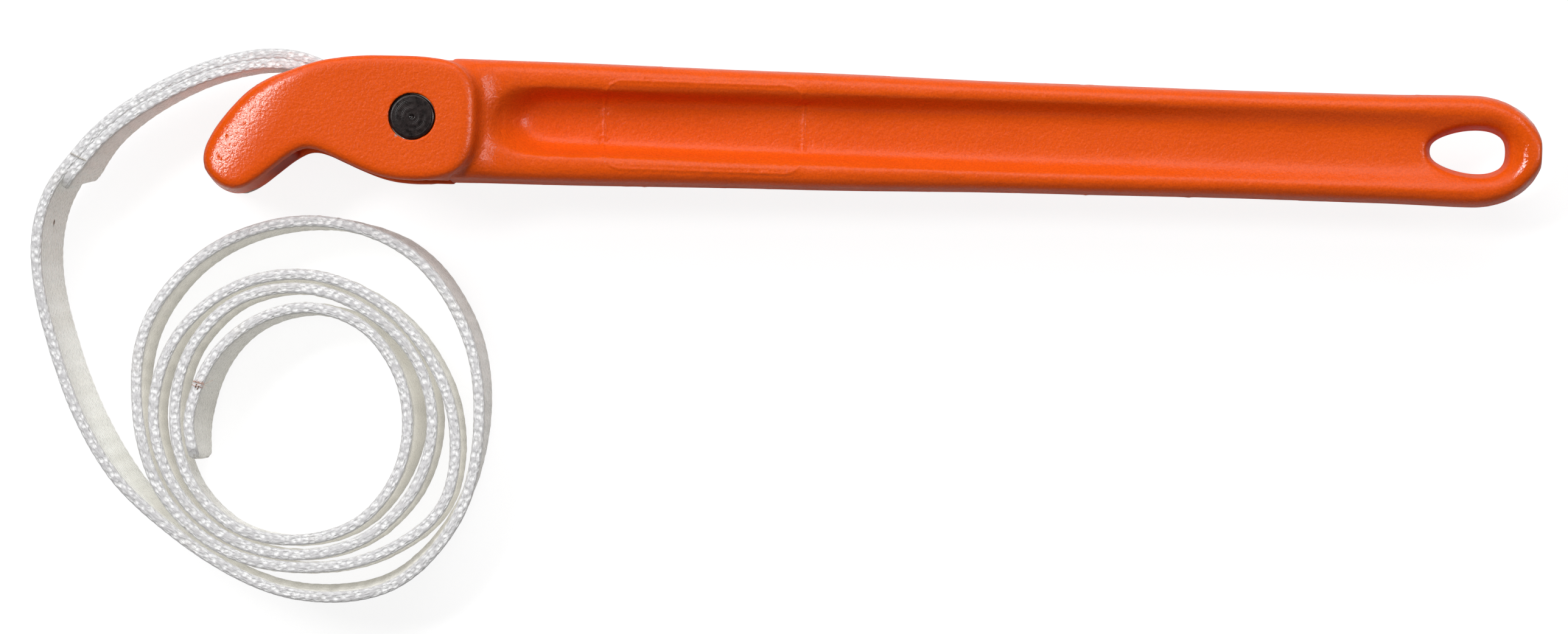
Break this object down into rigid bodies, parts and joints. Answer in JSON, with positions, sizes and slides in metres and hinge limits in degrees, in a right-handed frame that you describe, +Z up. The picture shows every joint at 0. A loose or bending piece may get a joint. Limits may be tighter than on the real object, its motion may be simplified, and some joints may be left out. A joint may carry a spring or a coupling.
{
  "type": "strap wrench",
  "caption": "Cast strap wrench: slotted head with a hooked nose, I-section handle, hang hole, and a woven strap on a cross pin, coiled.",
  "frame": {"origin": "middle of the footprint of the wrench with its strap, on the surface that the head's lower cheek rests on", "axes": "+X along the handle from the head to the hang hole, +Y towards the side where the strap leaves the head, +Z up along the cross pin, through the thickness"},
  "size_m": [0.3383, 0.124, 0.038],
  "materials": {
    "orange_paint": "glossy orange paint over a rough casting",
    "black_oxide": "turned steel, blackened",
    "white_webbing": "white woven nylon webbing, satin",
    "seam_thread": "twisted off-white sewing thread",
    "binding_thread": "twisted brown thread, frayed"
  },
  "bodies": {
    "wrench": {"wrench_body": "orange_paint", "pivot_pin": "black_oxide"},
    "strap": {"strap_loop": "white_webbing", "strap_run": "white_webbing", "strap_coil": "white_webbing", "lap_seam": "seam_thread", "tip_binding": "binding_thread"}
  },
  "joints": [
    {"name": "strap_swing", "type": "hinge", "parent": "wrench", "child": "strap", "pos_m": [-0.0841, 0.04746, 0.019], "axis": [0, 0, 1], "range_deg": [-10, 2]}
  ]
}
